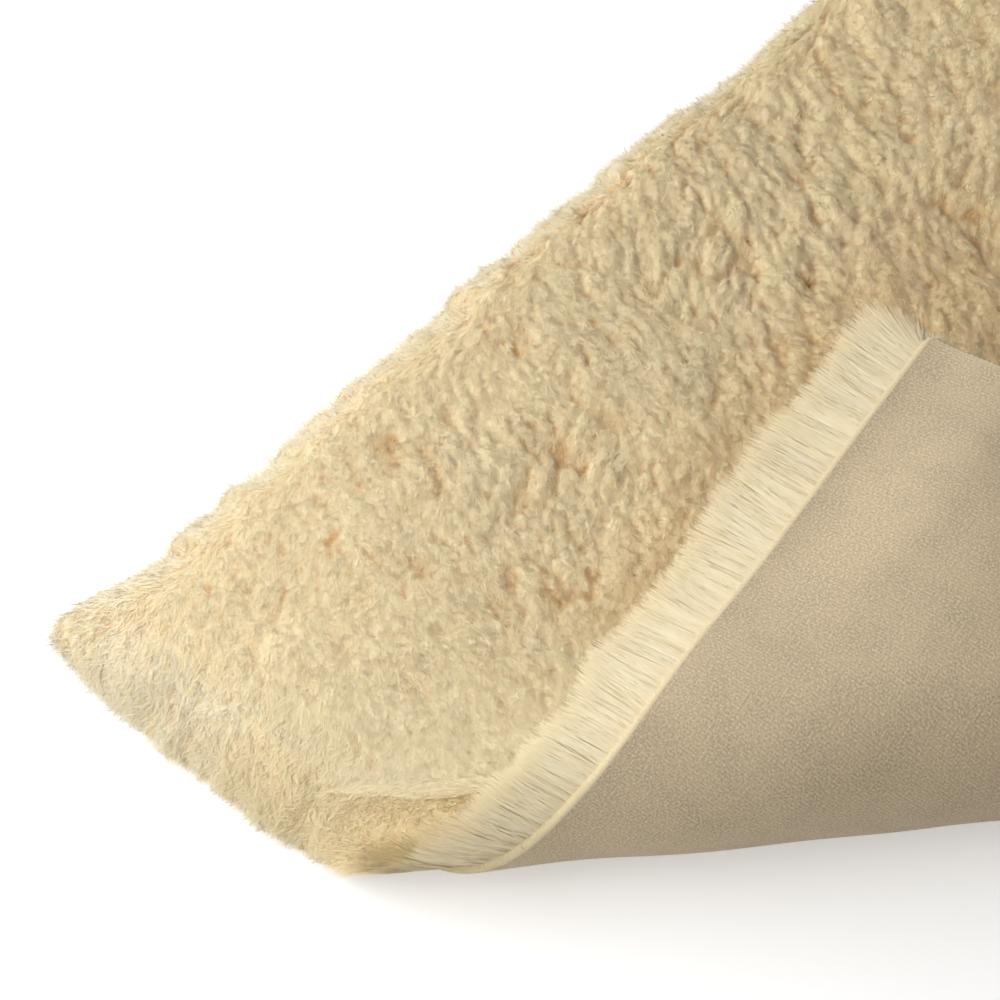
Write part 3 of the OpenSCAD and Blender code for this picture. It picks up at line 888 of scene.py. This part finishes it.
rng = np.random.default_rng(3)
strandPieces("pile", pileStrands(rng), rng)
strandPieces("fringe", fringeStrands(rng), rng)


def bedPiece(name, zone, x, y):
    # Undercoat that the fibres lie on
    patch = Patch()
    height, tone = readField(pileHeight, x, y), readField(paintedCreviceTone, x, y)
    height = height * (1 - np.minimum(rimDepth(x, y)[2] / rimLook["arc"], 1) ** 4)
    patch.grid(puff(x, y, height), 420 + 180 * softNoise(x, y, 14, 33), 1000 * tone)
    settlePile(patch.make(name, woolBed, "wool"), zone)


def skirtPatch(zone, at):
    # Close fibres of the fringe as one ridged strip from the sewn edge outward
    patch = Patch()
    at = at[:, None]
    turned, over = edgeTurn(at)
    v = np.linspace(0, 1, 11)[None]
    ridge = 0.6 * softNoise(at, 6 * v, 0.9, 44) + 0.8 * softNoise(at, 9 * v, 2.6, 45)
    ridge = ridge + fringeWave(at)
    fan = np.radians((skirtLook["fan"] + ridge) * turned)
    edge = 1 + 0.14 * softNoise(at, 0 * at, 1.2, 46) + 0.06 * softNoise(at, 0 * at, 3.0, 47)
    reach = (over + skirtLook["inset"]) * (0.95 + (skirtLook["share"] - 0.95) * turned) * edge
    centre = fringePlace(at, -skirtLook["inset"] + 0 * at, 0.6 + 0.5 * turned, fan, reach, v, 0 * v)[0]
    streak = 250 + 240 * softNoise(at, 2 * v, 0.5, 48)
    patch.grid(centre, streak, 620 + 340 * v + 0 * at, flip=zone in ("Main", "RollLow"))
    return patch


bedLayout = dict(bands=5, bandRows=100, cols=440, rollRows=60, flapRows=180)
bedRows = bedLayout["bands"] * bedLayout["bandRows"]
bedY = np.linspace(-rimSpare, pileEnd + rimSpare, bedRows + 1)[:, None]
left = sideTuck(bedY) - rimSpare
farEnd = np.minimum(mitt["width"] - sideTuck(bedY) + rimSpare, mitt["foldStart"] + bedY / math.tan(turn))
bedX = left + np.linspace(0, 1, bedLayout["cols"])[None] * (farEnd - left)
bedY = np.broadcast_to(bedY, bedX.shape)
for c in range(bedLayout["bands"]):
    rows = slice(c * bedLayout["bandRows"], (c + 1) * bedLayout["bandRows"] + 1)
    bedPiece(f"pileBedMain{c + 1}", "Main", bedX[rows], bedY[rows])
bedReach = cornerReach + rimSpare * (math.sin(turn) + math.cos(turn))
for zone, low, high, rows in (("RollLow", 0, rollMid, bedLayout["rollRows"]),
                              ("RollHigh", rollMid, rollArc, bedLayout["rollRows"]),
                              ("Flap", rollArc, bedReach, bedLayout["flapRows"])):
    bedPiece("pileBed" + zone, zone, *foldGrid(low, high - 0.01, rows, bedLayout["cols"], rimSpare))
skirtAt = np.arange(0, edgeAt[-1], skirtLook["step"])
skirtPast = past(*(np.interp(skirtAt, edgeAt, edgePoints[:, k]) for k in (0, 1)))
for zone, keep in zonesOf(skirtPast):
    picks = np.nonzero(keep)[0]
    for c, run in enumerate(np.split(picks, np.nonzero(np.diff(picks) > 1)[0] + 1)):
        patch = skirtPatch(zone, skirtAt[run[0]:run[-1] + 2])
        settlePile(patch.make(f"skirt{zone}{c + 1}", woolSkirt, "wool"), zone)
print("pile bed made")


# Ribbed cuff and its seam, on the outline of the open mouth

cuffLook = dict(ribs=74, ribDepth=0.55, around=592, rows=30, lip=1.5, ribWidth=0.55, course=1.6)
joinLook = dict(long=1.3, deep=1.9, sides=13, course=0.9)


def spread(n):
    # Shares from 0 to 1, closer together toward both ends
    return (1 - np.cos(np.pi * np.linspace(0, 1, n))) / 2


def mouthRing(n):
    # Closed outline of the mouth, flat below and arched above, and the way outward at each point
    half = mitt["cuffWidth"] / 2
    u = spread(n // 2 + 1)[::-1]
    rise = np.maximum(0, 1 - (2 * u - 1) ** 2) ** mitt["mouthArch"]
    top = np.stack([(u - 0.5) * 2 * half, faceTop + mitt["mouthHeight"] * rise], -1)
    low = np.stack([np.linspace(-half, half, 140), np.zeros(140)], -1)
    points = resample(np.concatenate([top, low, top[:1]]), 0.05)[0][:-1]
    soften = 45
    kernel = np.hanning(2 * soften + 1)
    kernel /= kernel.sum()
    wrapped = np.concatenate([points[-soften:], points, points[:soften]])
    points = np.stack([np.convolve(wrapped[:, i], kernel, "valid") for i in (0, 1)], -1)
    points = points[np.linspace(0, len(points), n, endpoint=False).astype(int)]
    tangent = np.roll(points, -1, 0) - np.roll(points, 1, 0)
    tangent /= np.linalg.norm(tangent, axis=1)[:, None]
    return points, np.stack([tangent[:, 1], -tangent[:, 0]], -1)


def tubePiece(name, profile, course, material, slot):
    # Sweep a closed profile round the mouth: place along the mitt, depth inward and share of the rib
    n = cuffLook["around"]
    points, out = mouthRing(n)
    rib = cuffLook["ribDepth"] * (0.5 + 0.5 * np.cos(2 * np.pi * cuffLook["ribs"] * np.arange(n) / n))
    rows = []
    for y, depth, ribShare in profile:
        p = points - out * (depth + rib * ribShare)[:, None]
        x, z = p[:, 0] + mitt["width"] / 2, np.maximum(p[:, 1], groundGap)
        rows.append(np.stack([x, np.full(n, y), z], -1))
    patch = Patch()
    patch.grid(np.stack(rows), np.arange(n)[None] * cuffLook["ribWidth"],
               np.arange(len(profile))[:, None] * course, wrap=True)
    return patch.make(name, material, slot)


cuffStart, lipStart = mitt["bodyLength"] + mitt["joinWidth"], cuffEnd - cuffLook["lip"]
profile = [(y, 0.0, 1.0) for y in np.linspace(cuffStart, lipStart, cuffLook["rows"])]
profile += [(cuffEnd - 0.5, 0.35, 0.8), (cuffEnd, 1.5, 0.3), (cuffEnd - 0.5, 2.6, -0.6)]
profile += [(y, mitt["cuffThick"], -0.9) for y in np.linspace(lipStart, cuffStart, cuffLook["rows"])]
profile += [(cuffStart, 1.5, 0.0), (cuffStart, 0.0, 1.0)]
cuffPiece = tubePiece("cuffBand", profile, cuffLook["course"], ribKnit, "rib_knit")
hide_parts("cuff_band")
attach(cuffPiece, "mitt_body")
joinMiddle, joinY = mitt["joinWidth"] / 2, mitt["bodyLength"]
profile = [(joinY + joinMiddle + joinLook["long"] * math.cos(a),
            joinMiddle - joinLook["deep"] * math.sin(a), 0.0)
           for a in np.linspace(0, 2 * np.pi, joinLook["sides"])]
joinPiece = tubePiece("joinSeam", profile, joinLook["course"], edgeThread, "edge_thread")
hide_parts("join_seam")
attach(joinPiece, "mitt_body")
print("cuff made")


# Stage, light and camera

photo = dict(azimuth=42.4, elevation=55.45, distance=600.0, focal=3517.65, pixels=1000, sensor=36,
             aimX=26.07, aimY=60.96)
azimuth, elevation = math.radians(photo["azimuth"]), math.radians(photo["elevation"])
right = Vector((math.cos(azimuth), math.sin(azimuth), 0))
level = Vector((-math.sin(azimuth), math.cos(azimuth), 0))
back = Vector((math.sin(azimuth) * math.cos(elevation), -math.cos(azimuth) * math.cos(elevation),
               math.sin(elevation)))
aim = Vector(toFrame([photo["aimX"], photo["aimY"], 0.0])[0])
camera = addObject("camera", bpy.data.cameras.new("camera"))
facing = Matrix((right, back.cross(right), back)).transposed().to_4x4()
camera.matrix_world = Matrix.Translation(aim + back * photo["distance"] / 1000) @ facing
camera.data.sensor_width = photo["sensor"]
camera.data.lens = photo["focal"] * photo["sensor"] / photo["pixels"]
camera.data.clip_start, camera.data.clip_end = 0.01, 20
scene.camera = camera

floorLook = dict(half=4, colour=(0.93, 0.93, 0.92, 1), rough=0.9, lit=0.4)
half = floorLook["half"]
floorMesh = bpy.data.meshes.new("floor")
corners = [(-half, -half, 0), (half, -half, 0), (half, half, 0), (-half, half, 0)]
floorMesh.from_pydata(corners, [], [(0, 1, 2, 3)])
floor = addObject("floor", floorMesh)
floorMaterial, tree, shader = newMaterial("floor")
setSockets(shader, {"Base Color": floorLook["colour"], "Roughness": floorLook["rough"],
                    "Emission Color": (1, 1, 1, 1)})
path = addNode(tree, "ShaderNodeLightPath")
seen = mathNode(tree, "ADD", path.outputs["Is Glossy Ray"], path.outputs["Is Transmission Ray"])
seen = mathNode(tree, "MAXIMUM", path.outputs["Is Camera Ray"], seen)
tree.links.new(mathNode(tree, "MULTIPLY", seen, floorLook["lit"]), shader.inputs["Emission Strength"])
floorMesh.materials.append(floorMaterial)

world = bpy.data.worlds.new("studio")
scene.world = world
world.use_nodes = True
setSockets(world.node_tree.nodes["Background"], {"Color": (1, 1, 1, 1), "Strength": 0.25})

lamps = dict(key=dict(left=0.23, away=0.0, up=0.22, size=0.42, power=1.27),
             fill=dict(left=0.20, away=-0.20, up=0.14, size=0.3, power=0.11),
             rim=dict(left=0.16, away=0.28, up=0.13, size=0.3, power=0.14))


def addLamp(name, look):
    # Soft square lamp, placed from the aim as the camera sees it and turned toward it
    lamp = bpy.data.lights.new(name, "AREA")
    lamp.size, lamp.energy = look["size"], look["power"]
    place = right * -look["left"] + level * look["away"] + Vector((0, 0, look["up"]))
    item = addObject(name, lamp)
    item.location = aim + place
    item.rotation_euler = place.to_track_quat("Z", "Y").to_euler()


for name, look in lamps.items():
    addLamp(name, look)
scene.view_settings.view_transform = "Standard"
print("stage made")
